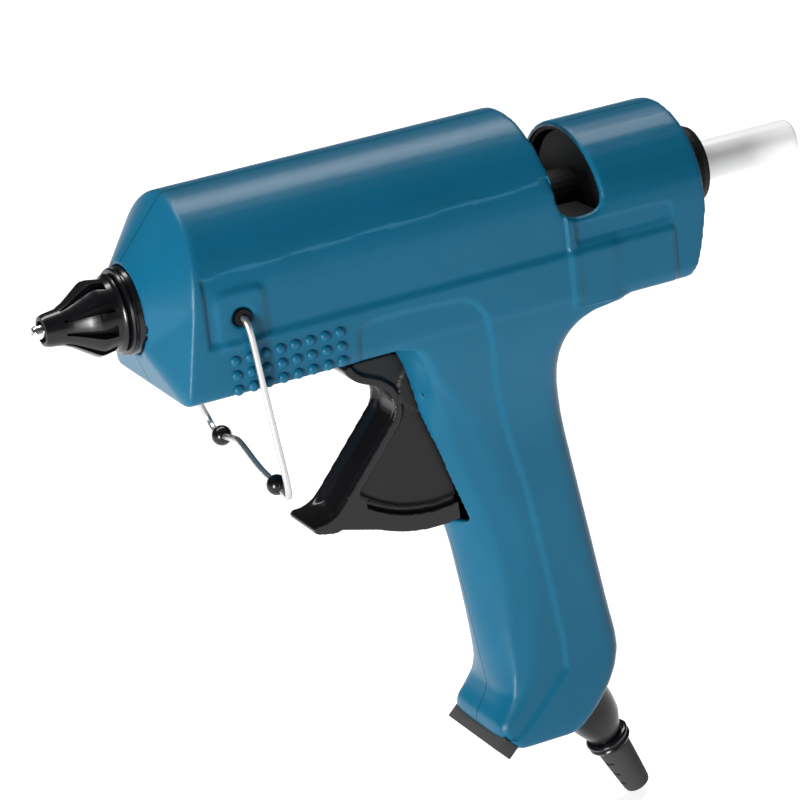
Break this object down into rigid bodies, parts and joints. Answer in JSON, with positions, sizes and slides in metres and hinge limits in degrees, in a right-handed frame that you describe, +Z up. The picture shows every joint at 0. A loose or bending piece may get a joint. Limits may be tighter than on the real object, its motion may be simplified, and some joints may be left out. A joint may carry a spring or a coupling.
{
  "type": "glue gun",
  "caption": "Hot-melt glue gun with a two-half housing, a sprung trigger that feeds a glue stick, a ribbed nozzle guard and a folding wire stand.",
  "frame": {"origin": "middle of the bottom of the whole gun's bounding box, under the end of the cord boot", "axes": "+X along the glue stick, from the nozzle to the rear; +Y from the left half to the right half; +Z up, with the stick level"},
  "size_m": [0.2282, 0.057, 0.2092],
  "materials": {
    "housing_blue": "fine-grained moulded plastic",
    "black_gloss": "smooth moulded plastic",
    "black_matte": "matte moulded plastic",
    "black_rubber": "soft matte",
    "steel": "bright plated",
    "aluminium": "cast",
    "ceramic": "fired ceramic",
    "silicone": "moulded silicone",
    "phenolic": "cut laminate",
    "glue": "milky translucent",
    "board_green": "lacquered board",
    "lead_insulation": "glass-fibre sleeve"
  },
  "bodies": {
    "housing": {"housing_left": "housing_blue", "housing_right": "housing_blue", "screw_1": "steel", "screw_2": "steel", "screw_3": "steel", "screw_4": "steel", "screw_5": "steel", "screw_6": "steel", "screw_7": "steel", "nozzle_tip": "steel", "valve_ball": "steel", "valve_spring": "steel", "nozzle_sleeve": "black_gloss", "nozzle_collar": "black_gloss", "melt_chamber": "aluminium", "heater_left": "ceramic", "heater_right": "ceramic", "heater_clip": "steel", "thermal_cutout": "ceramic", "inlet_sleeve": "silicone", "chamber_support_front": "phenolic", "chamber_support_rear": "phenolic", "trigger_pin": "steel", "trigger_spring": "steel", "stick_guide": "black_matte", "stand_bush_left": "black_gloss", "stand_bush_right": "black_gloss", "circuit_board": "board_green", "capacitor": "black_gloss", "triac": "black_gloss", "terminal_block": "board_green", "lead_live": "lead_insulation", "lead_neutral": "lead_insulation", "inlet_socket": "black_gloss", "cord_plug": "black_gloss", "plug_collar": "black_gloss", "strain_relief": "black_rubber", "foot_pad": "black_rubber"},
    "trigger": {"trigger": "black_gloss"},
    "carriage": {"feed_carriage": "black_matte", "clamp_pin": "steel"},
    "clamp": {"clamp_lever": "steel"},
    "stick": {"glue_stick": "glue"},
    "stand": {"stand_wire": "steel", "stand_foot_left": "black_rubber", "stand_foot_right": "black_rubber"}
  },
  "joints": [
    {"name": "trigger_pull", "type": "hinge", "parent": "housing", "child": "trigger", "pos_m": [-0.0095, 0, 0.14076], "axis": [0, -1, 0], "range_deg": [0, 28], "stiffness_Nm_per_rad": 0.15, "springref_deg": -20.05, "deforming": ["trigger_spring"]},
    {"name": "carriage_feed", "type": "slide", "parent": "housing", "child": "carriage", "axis": [-1, 0, 0], "range_m": [0, 0.0093]},
    {"name": "clamp_tilt", "type": "hinge", "parent": "carriage", "child": "clamp", "pos_m": [-0.0005, 0, 0.16726], "axis": [0, 1, 0], "range_deg": [0, 5.2]},
    {"name": "stick_feed", "type": "slide", "parent": "housing", "child": "stick", "axis": [-1, 0, 0], "range_m": [0, 0.0093]},
    {"name": "stand_swing", "type": "hinge", "parent": "housing", "child": "stand", "pos_m": [-0.0654, 0, 0.17906], "axis": [0, 1, 0], "range_deg": [-25, 55]}
  ],
  "couplings": [
    {"joint": "carriage_feed", "follows": "trigger_pull", "m_per_rad": 0.01856},
    {"joint": "stick_feed", "follows": "trigger_pull", "m_per_rad": 0.01856},
    {"joint": "clamp_tilt", "follows": "trigger_pull", "ratio": 0.18}
  ]
}
